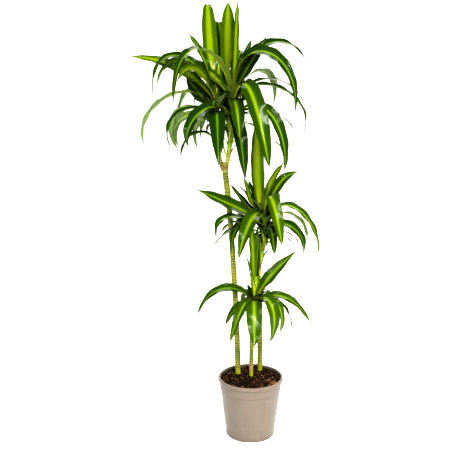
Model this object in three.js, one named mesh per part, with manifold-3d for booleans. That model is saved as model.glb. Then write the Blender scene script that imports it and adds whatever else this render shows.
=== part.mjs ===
// A potted dracaena: three canes of different height in one nursery pot, each with a
// crown of arching leaves that have a lime stripe down the middle.
//
// Millimetres, +Z up. The origin is the centre of the pot's base, on the ground.
// Seen from the plant's front, +X is to the right and +Y is away.

import * as THREE from 'three';
import { mergeVertices } from 'three/addons/utils/BufferGeometryUtils.js';
import Module from 'manifold-3d';

const wasm = await Module();
wasm.setup();

// ---------------------------------------------------------------- driving dimensions

const GAP = 0.3; // clearance between neighbouring pieces

const POT = {
  height: 200,
  baseRadius: 78, // outside, on the ground
  wallTop: 97, // outer radius of the wall where it meets the collar
  collarStep: 2.2, // how far the collar stands out from the wall
  collarBottom: 160,
  collarSpread: 1, // how much wider the collar is at its top than at its bottom
  lipBottom: 188,
  lipRadius: 105,
  lipRound: 1.5,
  wall: 2.2,
  floor: 3, // thickness of the flat middle of the base
  flatRadius: 56, // that flat middle ends here
  rampWidth: 4, // from that flat middle out to the raised ring
  ledge: 10, // inside height of the raised ring around it
  sides: 36,
};

const DRAIN = { count: 4, width: 32, height: 5, inner: 62 }; // slots around the foot

const SOIL = {
  edge: 192, // height at the pot's wall
  middle: 197, // height at the centre
  rough: 1.3, // how far its lumps stand up or down
  shrink: 0.4, // how far its top edge has drawn in from the wall
  rings: 3,
  chips: 9, // pieces of bark on top
  holeSides: 16, // of the three holes that take the canes
};

// A piece of bark on the soil: the ranges of its three sizes, of how far its corners keep
// their place, of its distance from the middle and of its tip in radians.
const CHIP = {
  length: [14, 30],
  width: [7, 13],
  height: [4, 6],
  endKept: [0.7, 1],
  sideKept: [0.6, 1],
  away: [45, 84],
  tip: [-0.15, 0.15],
  sunk: 2,
};

const RING = { pitch: 40, ridge: 0.6, step: 4 }; // leaf scars around a cane

const BLADE = {
  thick: 1.1, // along the midrib
  edge: 0.75, // at the margins
  step: 68, // length of one segment
  least: 3, // segments of the shortest
  wave: 1.2, // how far the margins ripple
  rootOut: 6, // how far a root stands out from the middle of its shoot
};

// Centre lines, as points [x, y, z] from the bottom up.
const TALL_CANE = [[-40, 30, 130], [-45, 29, 340], [-58, 26, 600], [-70, 23, 765], [-84, 20, 893]];
const MIDDLE_CANE = [[32, 62, 130], [31, 61, 300], [25, 60, 525]];
const SHORT_CANE = [[1, 8, 130], [3, 8, 304], [8, 8, 424]];
const CANE_RADIUS = { tall: 9, middle: 8.5, short: 7.2 };
const CANE_SIDES = 8;
const SOCKET = { depth: 60, sides: 12 }; // in a crown's foot, for the top of its cane

const LEFT_SHOOT = [[-94, 20, 896], [-104, 12, 930], [-109, 8, 990], [-108, 8, 1060], [-104, 10, 1112]];
const RIGHT_SHOOT = [[-75.5, 20, 896], [-70, 15, 930], [-64, 12, 1000], [-58, 12, 1118]];
const MIDDLE_SHOOT = [[25, 60, 514], [30, 54, 574], [43, 45, 635], [42, 42, 690], [35, 40, 752]];
const SHORT_SHOOT = [[8, 8, 412], [9, 4, 450], [10, 2, 482]];

// Radii of each shoot at even steps from its foot to its top.
const SHOOT_RADII = {
  left: [8, 7.5, 8.5, 12, 14, 5],
  right: [6.5, 7.2, 9, 12, 15, 6],
  middle: [11.5, 7.5, 6, 8.5, 12, 6],
  short: [10, 11, 13, 6],
};

// The knuckle is the swollen joint on the tall cane that two shoots spring from.
const KNUCKLE = {
  line: [[-82.3, 20.4, 872], [-84.5, 20, 888], [-85, 20, 900]],
  stations: [[872, 11.5], [880, 13], [888, 14.5], [894, 15], [900, 11]], // [z, radius]
  sides: 10,
};

// One leaf a row: [up, x, y, z, out1, rise1, out2, rise2, width, roll].
// up is the root's height above the foot of the shoot. x, y and z run from the root to
// the tip. The midrib also passes through two points on the way, at a third and at two
// thirds of its length: each lies the share out of the way to the tip, and rise above the
// root. roll turns the blade about its midrib, in degrees.
const LEFT_LEAVES = [
  [210, -32, 90, 266, 0.65, 105, 0.90, 225, 48, 0],
  [208, -90, 40, 190, 0.41, 100, 0.68, 150, 26, -20],
  [188, -270, 70, 135, 0.27, 75, 0.60, 120, 35, -50],
  [196, -118, -40, 60, 0.26, 56, 0.59, 96, 46, -40],
  [180, -195, 20, 20, 0.28, 115, 0.77, 145, 28, -40],
  [150, -222, 60, -110, 0.44, 68, 0.92, 8, 28, 20],
  [170, -92, 40, 92, 0.40, 28, 0.72, 62, 48, -50],
  [144, -135, -30, -90, 0.53, 30, 1.00, -5, 26, -15],
  [134, -120, 70, -100, 0.67, 35, 1.14, -10, 32, 25],
  [116, -120, 90, -75, 0.52, 30, 1.02, 5, 36, 35],
  [56, -110, -30, -35, 0.28, 40, 0.73, 35, 26, -10],
  [140, 10, -150, -120, 0.30, 22, 0.65, -28, 50, 0],
  [100, -60, 60, -60, 0.54, 35, 1.04, 10, 26, 10],
];
const RIGHT_LEAVES = [
  [214, -14, 70, 270, 0.90, 92, 1.05, 200, 51, 0],
  [218, 15, 50, 275, 0.33, 80, 0.66, 185, 26, 60],
  [210, -46, 150, 190, 0.58, 100, 0.86, 200, 38, 0],
  [200, -170, -140, -5, 0.31, 125, 0.76, 140, 44, -10],
  [198, 186, -60, -35, 0.30, 138, 0.80, 112, 44, 35],
  [212, 102, 10, 172, 0.35, 64, 0.68, 118, 46, 45],
  [204, 240, 70, 80, 0.19, 116, 0.60, 165, 34, 30],
  [216, 58, 50, 160, 0.38, 55, 0.67, 108, 28, 20],
  [196, 45, 120, 110, 0.25, 90, 0.62, 145, 34, 0],
  [185, 108, -170, -165, 0.42, 58, 0.78, -48, 56, 15],
  [165, 25, -130, -70, 0.40, 34, 0.74, -10, 44, 0],
  [121, 42, -110, -150, 0.42, 10, 0.76, -55, 44, 0],
  [150, 160, -60, -160, 0.61, 25, 0.94, -55, 42, 32],
  [178, 215, -10, -85, 0.43, 65, 0.91, 20, 30, 15],
  [188, 230, 50, -30, 0.34, 65, 0.73, 55, 24, 10],
  [190, 130, 110, -20, 0.36, 75, 0.86, 80, 36, -20],
  [154, 200, 40, -62, 0.37, 14, 0.72, -4, 22, 10],
  [130, 175, 50, -100, 0.35, -10, 0.65, -45, 20, 0],
  [172, -230, 40, 65, 0.25, 95, 0.70, 140, 34, -55],
  [126, -125, -110, -55, 0.43, 55, 0.90, 20, 48, -15],
];
const MIDDLE_LEAVES = [
  [226, -20, 40, 290, 0.85, 90, 1.00, 200, 47, 0],
  [228, 64, 0, 154, 0.30, 66, 0.62, 115, 28, 40],
  [216, 110, 40, 130, 0.31, 68, 0.61, 112, 36, 40],
  [208, 54, -110, -62, 0.36, 74, 0.74, 12, 46, 0],
  [188, 170, -30, -100, 0.44, 60, 0.86, 4, 34, 20],
  [180, 140, 50, -60, 0.45, 35, 0.85, 5, 28, -20],
  [164, 120, -30, -75, 0.50, 26, 0.92, -8, 38, 25],
  [154, 105, 30, -70, 0.47, 5, 0.93, -20, 16, 0],
  [144, 95, 10, -40, 0.47, 5, 0.81, -10, 14, 0],
  [150, 28, -90, -40, 0.55, 34, 0.84, 2, 30, 0],
  [194, -80, -110, -95, 0.30, 32, 0.69, -8, 52, -10],
  [174, -105, -50, -70, 0.48, 35, 0.85, 5, 32, -20],
  [202, -205, -75, 108, 0.33, 34, 0.66, 72, 46, -50],
  [210, -105, 50, 95, 0.46, 30, 0.73, 60, 22, -20],
  [216, -75, 70, 80, 0.33, 25, 0.66, 55, 20, 0],
  [224, -60, 30, 105, 0.56, 25, 0.79, 65, 24, -20],
  [222, -45, 50, 95, 0.33, 30, 0.66, 60, 26, 0],
  [184, -150, -70, -30, 0.50, 30, 0.89, 30, 34, -15],
  [165, -140, -96, 5, 0.45, 32, 0.77, 40, 20, 0],
  [154, -165, -75, -25, 0.42, 25, 0.70, 20, 22, 0],
];
const SHORT_LEAVES = [
  [62, -10, 8, 220, 0.35, 80, 0.72, 172, 46, 0],
  [58, 15, 20, 190, 0.33, 65, 0.66, 130, 30, 0],
  [64, 5, -90, 45, 0.35, 55, 0.70, 80, 30, 0],
  [60, -32, 30, 155, 0.33, 50, 0.66, 110, 28, 50],
  [52, 135, 30, 150, 0.28, 50, 0.56, 95, 44, 35],
  [40, -182, -10, -45, 0.31, 44, 0.69, 36, 34, -32],
  [28, -90, -20, -60, 0.37, 5, 0.72, -15, 34, -25],
  [34, -75, -100, -95, 0.33, 15, 0.68, -25, 38, 0],
  [30, 1, -120, -95, 0.35, 15, 0.70, -40, 52, 0],
  [38, 48, -64, -112, 0.90, 28, 1.30, -25, 40, 15],
  [32, 80, -30, -95, 0.71, 25, 1.09, -20, 28, 30],
  [48, 60, 40, -15, 0.50, 25, 0.83, 15, 28, 0],
  [44, 185, -20, -75, 0.32, 20, 0.65, 5, 32, 32],
  [26, 125, 20, -145, 0.59, 12, 0.93, -42, 22, 20],
  [50, -20, 30, 40, 0.33, 10, 0.66, 25, 20, 0],
];

// Leaves on the far side of each shoot, placed by rule: their headings in degrees from +X
// towards +Y, the heights that their roots lie between, and the range of their lengths.
const FAR_LEAVES = {
  left: { seed: 11, headings: [105, 126, 148], up: [110, 205], length: [200, 290] },
  right: { seed: 23, headings: [28, 45, 62, 80, 98], up: [110, 210], length: [200, 300] },
  middle: { seed: 37, headings: [58, 74, 92, 112, 134], up: [140, 225], length: [160, 240] },
  short: { seed: 41, headings: [24, 42, 102, 124], up: [10, 22], length: [100, 125] },
};

// Short leaves that fill the heart of each shoot, a golden angle apart: how many there
// are, the heights that their roots lie between, and the range of their lengths.
const HEART_LEAVES = {
  left: { seed: 51, count: 5, up: [110, 195], length: [80, 120] },
  right: { seed: 53, count: 5, up: [110, 200], length: [80, 120] },
  middle: { seed: 57, count: 5, up: [120, 210], length: [70, 110] },
  short: { seed: 59, count: 2, up: [20, 34], length: [45, 55] },
};
const GOLDEN_ANGLE = 137.5;

// ---------------------------------------------------------------- shared helpers

// A number generator that gives the same values in the same order each time.
function seeded(seed) {
  let state = seed;
  return (low, high) => {
    state = (state * 16807) % 2147483647;
    return low + (high - low) * (state / 2147483647);
  };
}

// The point of a centre line at height z, on a smooth curve through its points.
function lineAt(points, z) {
  const last = points.length - 1;
  let i = 0;
  while (i < last - 1 && z > points[i + 1][2]) i += 1;
  const before = points[Math.max(i - 1, 0)];
  const a = points[i];
  const b = points[i + 1];
  const after = points[Math.min(i + 2, last)];
  const span = b[2] - a[2];
  const t = (z - a[2]) / span;
  const place = (k) => {
    const leave = ((b[k] - before[k]) / (b[2] - before[2])) * span;
    const arrive = ((after[k] - a[k]) / (after[2] - a[2])) * span;
    return (
      a[k] * (2 * t ** 3 - 3 * t ** 2 + 1) +
      leave * (t ** 3 - 2 * t ** 2 + t) +
      b[k] * (3 * t ** 2 - 2 * t ** 3) +
      arrive * (t ** 3 - t ** 2)
    );
  };
  return new THREE.Vector3(place(0), place(1), z);
}

// A closed skin over rings of points that all run the same way around. The second half
// of every ring takes the other diagonal, so a thin blade has like triangles on both faces.
function loft(rings) {
  const count = rings[0].length;
  const index = [];
  for (let i = 0; i < rings.length - 1; i += 1) {
    for (let j = 0; j < count; j += 1) {
      const next = (j + 1) % count;
      const [a, b] = [i * count + j, i * count + next];
      const [c, d] = [a + count, b + count];
      if (j < count / 2) index.push(a, b, d, a, d, c);
      else index.push(a, b, c, b, d, c);
    }
  }
  const end = (rings.length - 1) * count;
  for (let j = 2; j < count; j += 1) {
    const next = (j + 1) % count;
    index.push(1, next, j);
    index.push(end + 1, end + j, end + next);
  }
  const geometry = new THREE.BufferGeometry();
  const numbers = rings.flat().flatMap((point) => point.toArray());
  geometry.setAttribute('position', new THREE.Float32BufferAttribute(numbers, 3));
  geometry.setIndex(index);
  return geometry;
}

// A closed mesh as a solid. Triangles that shrink to a line on a lathe's axis are left out.
function solid(geometry) {
  const bare = geometry.clone();
  bare.deleteAttribute('normal');
  bare.deleteAttribute('uv');
  const merged = mergeVertices(bare);
  const index = merged.index.array;
  const triangles = [];
  for (let i = 0; i < index.length; i += 3) {
    const [a, b, c] = [index[i], index[i + 1], index[i + 2]];
    if (a !== b && b !== c && c !== a) triangles.push(a, b, c);
  }
  return new wasm.Manifold(new wasm.Mesh({
    numProp: 3,
    vertProperties: Float32Array.from(merged.attributes.position.array),
    triVerts: Uint32Array.from(triangles),
  }));
}

// The largest connected skin of a body: pockets sealed between crossing leaves are
// filled by it, and loose scraps are left out.
function whole(body) {
  return body.decompose().reduce((best, piece) => (piece.volume() > best.volume() ? piece : best));
}

function geometryOf(body) {
  const mesh = body.getMesh();
  const geometry = new THREE.BufferGeometry();
  geometry.setAttribute('position', new THREE.BufferAttribute(Float32Array.from(mesh.vertProperties), 3));
  geometry.setIndex(new THREE.BufferAttribute(Uint32Array.from(mesh.triVerts), 1));
  geometry.computeVertexNormals();
  return geometry;
}

function named(name, body, color, roughness) {
  const material = new THREE.MeshStandardMaterial({ color, roughness, metalness: 0 });
  const mesh = new THREE.Mesh(geometryOf(body), material);
  mesh.name = name;
  return mesh;
}

// A body of revolution about +Z from [radius, z] points that start and end on the axis.
function turned(profile, sides) {
  const points = profile.map(([radius, z]) => new THREE.Vector2(radius, z));
  return solid(new THREE.LatheGeometry(points, sides).rotateX(Math.PI / 2));
}

// A round stem: level rings about a centre line, at [z, radius] stations.
function stem(points, stations, sides) {
  return solid(loft(stations.map(([z, radius]) => {
    const centre = lineAt(points, z);
    return Array.from({ length: sides }, (_, j) => {
      const angle = (2 * Math.PI * j) / sides;
      return new THREE.Vector3(Math.cos(angle), Math.sin(angle), 0).multiplyScalar(radius).add(centre);
    });
  })));
}

// ---------------------------------------------------------------- pot

// Outer radius of the pot's wall below the collar, which widens evenly upwards.
function wallRadius(z) {
  return POT.baseRadius + ((POT.wallTop - POT.baseRadius) * z) / POT.collarBottom;
}

function makePot() {
  const collar = POT.wallTop + POT.collarStep;
  const collarTop = collar + POT.collarSpread;
  const inside = collarTop - POT.wall;
  let pot = turned([
    [0, 0],
    [POT.baseRadius - 2, 0],
    [POT.baseRadius, 2],
    [wallRadius(POT.collarBottom - 2), POT.collarBottom - 2],
    [collar, POT.collarBottom],
    [collarTop, POT.lipBottom],
    [POT.lipRadius - POT.lipRound, POT.lipBottom],
    [POT.lipRadius, POT.lipBottom + POT.lipRound],
    [POT.lipRadius, POT.height - POT.lipRound],
    [POT.lipRadius - POT.lipRound, POT.height],
    [inside + POT.lipRound, POT.height],
    [inside, POT.height - POT.lipRound],
    [collar - POT.wall, POT.collarBottom],
    [wallRadius(POT.collarBottom - 2) - POT.wall, POT.collarBottom - 6],
    [wallRadius(POT.ledge) - POT.wall, POT.ledge],
    [POT.flatRadius + POT.rampWidth, POT.ledge],
    [POT.flatRadius, POT.floor],
    [0, POT.floor],
  ], POT.sides);
  const reach = 2 * (POT.baseRadius - DRAIN.inner);
  for (let i = 0; i < DRAIN.count; i += 1) {
    const slot = new THREE.BoxGeometry(reach, DRAIN.width, 2 * DRAIN.height);
    slot.translate(DRAIN.inner + reach / 2, 0, 0);
    slot.rotateZ((2 * Math.PI * i) / DRAIN.count);
    pot = pot.subtract(solid(slot));
  }
  return named('pot', pot, 0xb7a48f, 0.55);
}

// ---------------------------------------------------------------- soil

// A rough flake of bark: a low box with its corners pushed about.
function barkChip(draw) {
  const chip = new THREE.BoxGeometry(draw(...CHIP.length), draw(...CHIP.width), draw(...CHIP.height));
  const bare = mergeVertices(chip.deleteAttribute('normal').deleteAttribute('uv'));
  const corner = bare.attributes.position;
  for (let i = 0; i < corner.count; i += 1) {
    corner.setXY(i, corner.getX(i) * draw(...CHIP.endKept), corner.getY(i) * draw(...CHIP.sideKept));
  }
  const angle = draw(0, 2 * Math.PI);
  const radius = draw(...CHIP.away);
  bare.rotateZ(draw(0, Math.PI));
  bare.rotateX(draw(...CHIP.tip));
  bare.translate(radius * Math.cos(angle), radius * Math.sin(angle), SOIL.middle - CHIP.sunk);
  return solid(bare);
}

function makeSoil() {
  const draw = seeded(5);
  const edge = POT.wallTop + POT.collarStep + POT.collarSpread - POT.wall - GAP - SOIL.shrink;
  const top = [];
  for (let i = 0; i <= SOIL.rings; i += 1) {
    const share = 1 - i / SOIL.rings;
    top.push([edge * share, SOIL.middle - (SOIL.middle - SOIL.edge) * share ** 2]);
  }
  const profile = [
    [0, POT.floor + GAP],
    [POT.flatRadius - GAP, POT.floor + GAP],
    [POT.flatRadius + POT.rampWidth - GAP, POT.ledge + GAP],
    [wallRadius(POT.ledge) - POT.wall - GAP, POT.ledge + GAP],
    [wallRadius(POT.collarBottom - 2) - POT.wall - GAP, POT.collarBottom - 6 + GAP],
    [POT.wallTop + POT.collarStep - POT.wall - GAP, POT.collarBottom + GAP],
    ...top,
  ];
  const points = profile.map(([radius, z]) => new THREE.Vector2(radius, z));
  const lump = mergeVertices(
    new THREE.LatheGeometry(points, POT.sides)
      .rotateX(Math.PI / 2)
      .deleteAttribute('normal')
      .deleteAttribute('uv'),
  );
  const place = lump.attributes.position;
  for (let i = 0; i < place.count; i += 1) {
    if (place.getZ(i) >= SOIL.edge) place.setZ(i, place.getZ(i) + draw(-SOIL.rough, SOIL.rough));
  }
  let soil = solid(lump);
  for (let i = 0; i < SOIL.chips; i += 1) soil = soil.add(barkChip(draw));
  for (const [line, radius] of [
    [TALL_CANE, CANE_RADIUS.tall],
    [MIDDLE_CANE, CANE_RADIUS.middle],
    [SHORT_CANE, CANE_RADIUS.short],
  ]) {
    const hole = radius + RING.ridge + GAP;
    const stations = [line[0][2] - GAP, SOIL.edge, 2 * POT.height - SOIL.edge].map((z) => [z, hole]);
    soil = soil.subtract(stem(line, stations, SOIL.holeSides));
  }
  return named('soil', soil, 0x33261c, 0.95);
}

// ---------------------------------------------------------------- canes

// A cane with a low ridge at each old leaf scar.
function makeCane(name, line, radius) {
  const foot = line[0][2];
  const top = line[line.length - 1][2];
  const stations = [[foot, radius]];
  for (let z = foot + RING.pitch; z < top - RING.step; z += RING.pitch) {
    stations.push([z, radius + RING.ridge], [z + RING.step, radius]);
  }
  stations.push([top, radius]);
  return named(name, stem(line, stations, CANE_SIDES), 0x7d8a3c, 0.7);
}

// The space that a crown leaves for the top of the cane it grows from.
function caneTop(line, radius) {
  const top = line[line.length - 1][2];
  const hole = radius + RING.ridge + GAP;
  return stem(line, [[top - SOCKET.depth, hole], [top + GAP, hole]], SOCKET.sides);
}

// ---------------------------------------------------------------- leaves

// Width of a blade at share t of its length, as a share of its full width: a clasping
// root, the widest place a little before the middle, and a long sharp tip.
function bladeWidth(t) {
  const widest = 0.45;
  if (t < widest) return 0.35 + 0.65 * Math.sin((Math.PI / 2) * (t / widest));
  return 1 - ((t - widest) / (1 - widest)) ** 2.2;
}

// How far the margins rise above the midrib, as a share of the half width: a deep
// channel at the root that opens out towards the tip.
function bladeFold(t) {
  return 0.22 + 0.5 * (1 - t) ** 3;
}

// The cubic curve from a to d that passes b a third and c two thirds of the way.
function cubicThrough(a, b, c, d) {
  const mix = (...shares) => [a, b, c, d].reduce(
    (sum, point, i) => sum.addScaledVector(point, shares[i] / 6),
    new THREE.Vector3(),
  );
  return new THREE.CubicBezierCurve3(a, mix(-5, 18, -9, 2), mix(2, -9, 18, -5), d);
}

// One blade on a shoot, from its row of numbers.
function blade(shoot, [up, x, y, z, out1, rise1, out2, rise2, width, roll]) {
  const root = lineAt(shoot, shoot[0][2] + up);
  const start = new THREE.Vector3(x, y, 0).normalize().multiplyScalar(BLADE.rootOut);
  const first = new THREE.Vector3(out1 * x, out1 * y, rise1);
  const second = new THREE.Vector3(out2 * x, out2 * y, rise2);
  const midrib = cubicThrough(start, first, second, new THREE.Vector3(x, y, z));
  const segments = Math.max(BLADE.least, Math.round(midrib.getLength() / BLADE.step));
  const level = new THREE.Vector3(y, -x, 0).normalize();
  const rings = [];
  for (let i = 0; i <= segments; i += 1) {
    const t = i / segments;
    const along = midrib.getTangent(t);
    const turn = THREE.MathUtils.degToRad(roll) * Math.min(t / 0.4, 1);
    const side = level.clone().applyAxisAngle(along, turn);
    const normal = side.clone().cross(along);
    const half = Math.max((width / 2) * bladeWidth(t), BLADE.edge);
    const ripple = i === 0 || i === segments ? 0 : BLADE.wave * (i % 2 ? 1 : -1);
    const centre = midrib.getPoint(t).add(root);
    const corner = (across, lift, sunk) => centre.clone()
      .addScaledVector(side, across * half)
      .addScaledVector(normal, lift - sunk);
    const rise = bladeFold(t) * half;
    rings.push([
      corner(-1, rise + ripple, 0),
      corner(0, 0, 0),
      corner(1, rise - ripple, 0),
      corner(1, rise - ripple, BLADE.edge),
      corner(0, 0, BLADE.thick),
      corner(-1, rise + ripple, BLADE.edge),
    ]);
  }
  return solid(loft(rings));
}

// Rows for the leaves on the far side of a shoot: they rise, arch over and hang.
function farLeaves({ seed, headings, up, length }) {
  const draw = seeded(seed);
  return headings.map((heading) => {
    const turn = THREE.MathUtils.degToRad(heading);
    const reach = draw(length[0], length[1]) * 0.6;
    const high = draw(0, 1);
    return [
      up[0] + (up[1] - up[0]) * high,
      reach * Math.cos(turn),
      reach * Math.sin(turn),
      reach * (0.5 * high - 0.6),
      0.35,
      reach * (0.3 + 0.3 * high),
      0.75,
      reach * (0.2 + 0.45 * high),
      draw(28, 38),
      0,
    ];
  });
}

// Rows for the short leaves at the heart of a shoot.
function heartLeaves({ seed, count, up, length }) {
  const draw = seeded(seed);
  const rows = [];
  for (let k = 0; k < count; k += 1) {
    const turn = THREE.MathUtils.degToRad(GOLDEN_ANGLE * k + draw(0, 40));
    const long = draw(length[0], length[1]);
    const reach = 0.55 * long;
    const rise = draw(0.45, 0.8) * long;
    rows.push([
      up[0] + ((up[1] - up[0]) * k) / (count - 1),
      reach * Math.cos(turn),
      reach * Math.sin(turn),
      rise,
      0.3,
      0.45 * rise,
      0.65,
      0.8 * rise,
      draw(22, 30),
      0,
    ]);
  }
  return rows;
}

// ---------------------------------------------------------------- crowns

// A shoot with its hand-placed leaves and those that the two rules for its side add.
function leafyShoot(line, placed, side) {
  const radii = SHOOT_RADII[side];
  const leaves = [...placed, ...farLeaves(FAR_LEAVES[side]), ...heartLeaves(HEART_LEAVES[side])];
  const foot = line[0][2];
  const height = line[line.length - 1][2] - foot;
  const stations = radii.map((radius, i) => [foot + (height * i) / (radii.length - 1), radius]);
  return wasm.Manifold.union([stem(line, stations, CANE_SIDES), ...leaves.map((row) => blade(line, row))]);
}

function makeCrown(name, shoots, cane, caneRadius) {
  const crown = wasm.Manifold.union(shoots).subtract(caneTop(cane, caneRadius));
  return named(name, whole(crown), 0x4f7a1c, 0.4);
}

function makeTallCrown() {
  return makeCrown('tall_crown', [
    stem(KNUCKLE.line, KNUCKLE.stations, KNUCKLE.sides),
    leafyShoot(LEFT_SHOOT, LEFT_LEAVES, 'left'),
    leafyShoot(RIGHT_SHOOT, RIGHT_LEAVES, 'right'),
  ], TALL_CANE, CANE_RADIUS.tall);
}

function makeMiddleCrown() {
  const shoot = leafyShoot(MIDDLE_SHOOT, MIDDLE_LEAVES, 'middle');
  return makeCrown('middle_crown', [shoot], MIDDLE_CANE, CANE_RADIUS.middle);
}

function makeShortCrown() {
  const shoot = leafyShoot(SHORT_SHOOT, SHORT_LEAVES, 'short');
  return makeCrown('short_crown', [shoot], SHORT_CANE, CANE_RADIUS.short);
}

// ---------------------------------------------------------------- the whole plant

const plant = new THREE.Group();
plant.add(
  makePot(),
  makeSoil(),
  makeCane('tall_cane', TALL_CANE, CANE_RADIUS.tall),
  makeCane('middle_cane', MIDDLE_CANE, CANE_RADIUS.middle),
  makeCane('short_cane', SHORT_CANE, CANE_RADIUS.short),
  makeTallCrown(),
  makeMiddleCrown(),
  makeShortCrown(),
);

export default plant;
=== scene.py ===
"""The look of a potted dracaena: three ringed canes of different height in one nursery pot,
each with a crown of arching leaves that have a lime stripe down the middle.

Places are worked out in millimetres, +Z up, about the middle of the pot's base, and turned
to metres where they go into a mesh.
"""

import math

import bpy
import numpy as np
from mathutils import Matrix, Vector


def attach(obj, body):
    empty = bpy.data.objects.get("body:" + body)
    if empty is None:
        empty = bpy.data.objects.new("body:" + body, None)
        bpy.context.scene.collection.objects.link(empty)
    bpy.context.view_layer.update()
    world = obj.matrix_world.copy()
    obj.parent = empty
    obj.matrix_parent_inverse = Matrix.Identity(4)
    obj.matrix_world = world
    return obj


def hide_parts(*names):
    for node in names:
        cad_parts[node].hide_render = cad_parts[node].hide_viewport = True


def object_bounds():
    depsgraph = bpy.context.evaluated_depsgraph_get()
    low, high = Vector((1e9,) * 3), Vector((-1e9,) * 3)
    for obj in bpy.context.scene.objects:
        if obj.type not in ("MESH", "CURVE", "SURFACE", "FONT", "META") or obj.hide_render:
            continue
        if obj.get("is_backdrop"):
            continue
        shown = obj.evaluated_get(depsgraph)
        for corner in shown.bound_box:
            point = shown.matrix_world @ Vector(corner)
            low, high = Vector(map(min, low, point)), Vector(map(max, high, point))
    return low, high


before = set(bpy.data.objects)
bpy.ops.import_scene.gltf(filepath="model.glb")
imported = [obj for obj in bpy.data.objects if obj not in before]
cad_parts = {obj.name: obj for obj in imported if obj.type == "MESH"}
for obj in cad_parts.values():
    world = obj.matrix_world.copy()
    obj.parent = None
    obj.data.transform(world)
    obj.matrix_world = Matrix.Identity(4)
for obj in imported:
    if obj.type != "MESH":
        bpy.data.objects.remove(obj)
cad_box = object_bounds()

MM = 0.001

# ---------------- the plant's own sizes

POT_HEIGHT = 200
POT_BASE_RADIUS = 78
POT_WALL_TOP = 97  # outer radius of the wall where it meets the collar
COLLAR_BOTTOM = 160
COLLAR_RADIUS = 99.2
COLLAR_SPREAD = 1.0  # how much wider the collar is at its top
LIP_BOTTOM = 188
LIP_RADIUS = 105
POT_WALL = 2.2  # thickness
POT_FLOOR = 3  # height of the floor's low middle
POT_LEDGE = 10  # height of the raised ring around it
FLAT_RADIUS = 56  # radius of the low middle
RAMP_WIDTH = 4
INNER_STEP = 6  # height over which the inside widens, below the collar
POT_RIBS = (143.5, 149.5, 172.5, 179.5)  # heights of the faint rings around the wall
DRAIN_SLOTS = 4
DRAIN_WIDTH = 32
DRAIN_HEIGHT = 5
DRAIN_INNER = 62  # radius at which the slots begin underneath

SOIL_EDGE = 192  # height of the soil at the pot's wall
SOIL_MIDDLE = 197
SOIL_RADIUS = 97
CLEARANCE = 0.3  # gap between the soil and the pot

TALL_CANE = [[-40, 30, 130], [-45, 29, 340], [-58, 26, 600], [-70, 23, 765], [-84, 20, 893]]
MIDDLE_CANE = [[32, 62, 130], [31, 61, 300], [25, 60, 525]]
SHORT_CANE = [[1, 8, 130], [3, 8, 304], [8, 8, 424]]
TALL_RADIUS = 9.0
MIDDLE_RADIUS = 8.5
SHORT_RADIUS = 7.2

LEFT_SHOOT = [[-94, 20, 896], [-104, 12, 930], [-109, 8, 990], [-108, 8, 1060], [-104, 10, 1112]]
RIGHT_SHOOT = [[-75.5, 20, 896], [-70, 15, 930], [-64, 12, 1000], [-58, 12, 1118]]
MIDDLE_SHOOT = [[25, 60, 514], [30, 54, 574], [43, 45, 635], [42, 42, 690], [35, 40, 752]]
SHORT_SHOOT = [[8, 8, 412], [9, 4, 450], [10, 2, 482]]
KNUCKLE = [[-82.3, 20.4, 872], [-84.5, 20, 888], [-85, 20, 900]]
ROOT_RADIUS = 6  # how far a leaf's root is from the middle of its shoot

# One leaf a row: up, x, y, z, out1, rise1, out2, rise2, width, roll, youth.
# up is the root's height above the foot of the shoot, and x, y and z run from there to the
# tip. The midrib also passes, at a third and at two thirds of its way, through the points
# that lie the share out of the way to the tip, and rise above the root. roll turns the
# blade about its midrib, in degrees. youth is near 0 for an old leaf, 1 for a young one, which
# is mostly lime, and more for the palest leaf bases.
LEFT_LEAVES = [
    [210, -32, 90, 266, 0.65, 105, 0.90, 225, 48, 0, 0.80],
    [208, -90, 40, 190, 0.41, 100, 0.68, 150, 26, -20, 0.35],
    [188, -270, 70, 135, 0.27, 75, 0.60, 120, 35, -50, 0.85],
    [196, -118, -40, 60, 0.26, 56, 0.59, 96, 46, -40, 0.95],
    [180, -195, 20, 20, 0.28, 115, 0.77, 145, 28, -40, 0.20],
    [150, -222, 60, -110, 0.44, 68, 0.92, 8, 28, 20, 0.20],
    [170, -92, 40, 92, 0.40, 28, 0.72, 62, 48, -50, 0.15],
    [144, -135, -30, -90, 0.53, 30, 1.00, -5, 26, -15, 0.15],
    [134, -120, 70, -100, 0.67, 35, 1.14, -10, 32, 25, 0.20],
    [116, -120, 90, -75, 0.52, 30, 1.02, 5, 36, 35, 0.25],
    [56, -110, -30, -35, 0.28, 40, 0.73, 35, 26, -10, 0.15],
    [140, 10, -150, -120, 0.30, 22, 0.65, -28, 50, 0, 0.08],
    [100, -60, 60, -60, 0.54, 35, 1.04, 10, 26, 10, 0.15],
    [190, 22, 60, 120, 0.40, 50, 0.70, 90, 32, 0, 0.05],
    [196, 6, 50, 110, 0.50, 40, 0.80, 85, 22, 0, 0.90],
    [186, -30, 70, 120, 0.40, 50, 0.70, 90, 32, 0, 0.20],
]
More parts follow.
